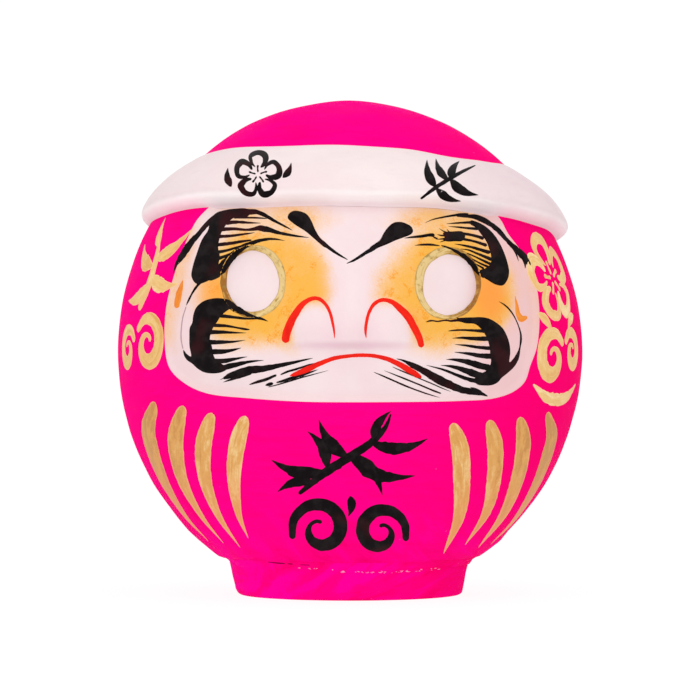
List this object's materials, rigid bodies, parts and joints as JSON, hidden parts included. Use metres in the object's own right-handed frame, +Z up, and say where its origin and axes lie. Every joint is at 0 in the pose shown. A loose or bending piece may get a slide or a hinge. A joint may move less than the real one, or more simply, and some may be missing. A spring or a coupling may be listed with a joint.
{
  "type": "daruma doll",
  "caption": "Round weighted papier-mache doll on a flat foot, with a raised headband, blank round eyes, painted brows and beard, and gold stripes.",
  "frame": {"origin": "centre of the underside of the foot, on the surface it stands on", "axes": "+Z up through the crown, -Y the way the face looks, +X towards the doll's left"},
  "size_m": [0.2256, 0.2322, 0.24],
  "materials": {
    "pink_paper": "matte",
    "white_paper": "matte",
    "raw_paper": "matte",
    "cardboard": "matte",
    "clay": "matte",
    "glue": "matte",
    "black_ink": "satin",
    "gold_paint": "satin",
    "red_paint": "satin"
  },
  "bodies": {
    "root": {"front_shell": "pink_paper", "rear_shell": "pink_paper", "seam_strip": "raw_paper", "headband": "white_paper", "foot_ring": "pink_paper", "sole_disc": "cardboard", "ballast_disc": "clay", "glue_bead": "glue"}
  },
  "joints": []
}
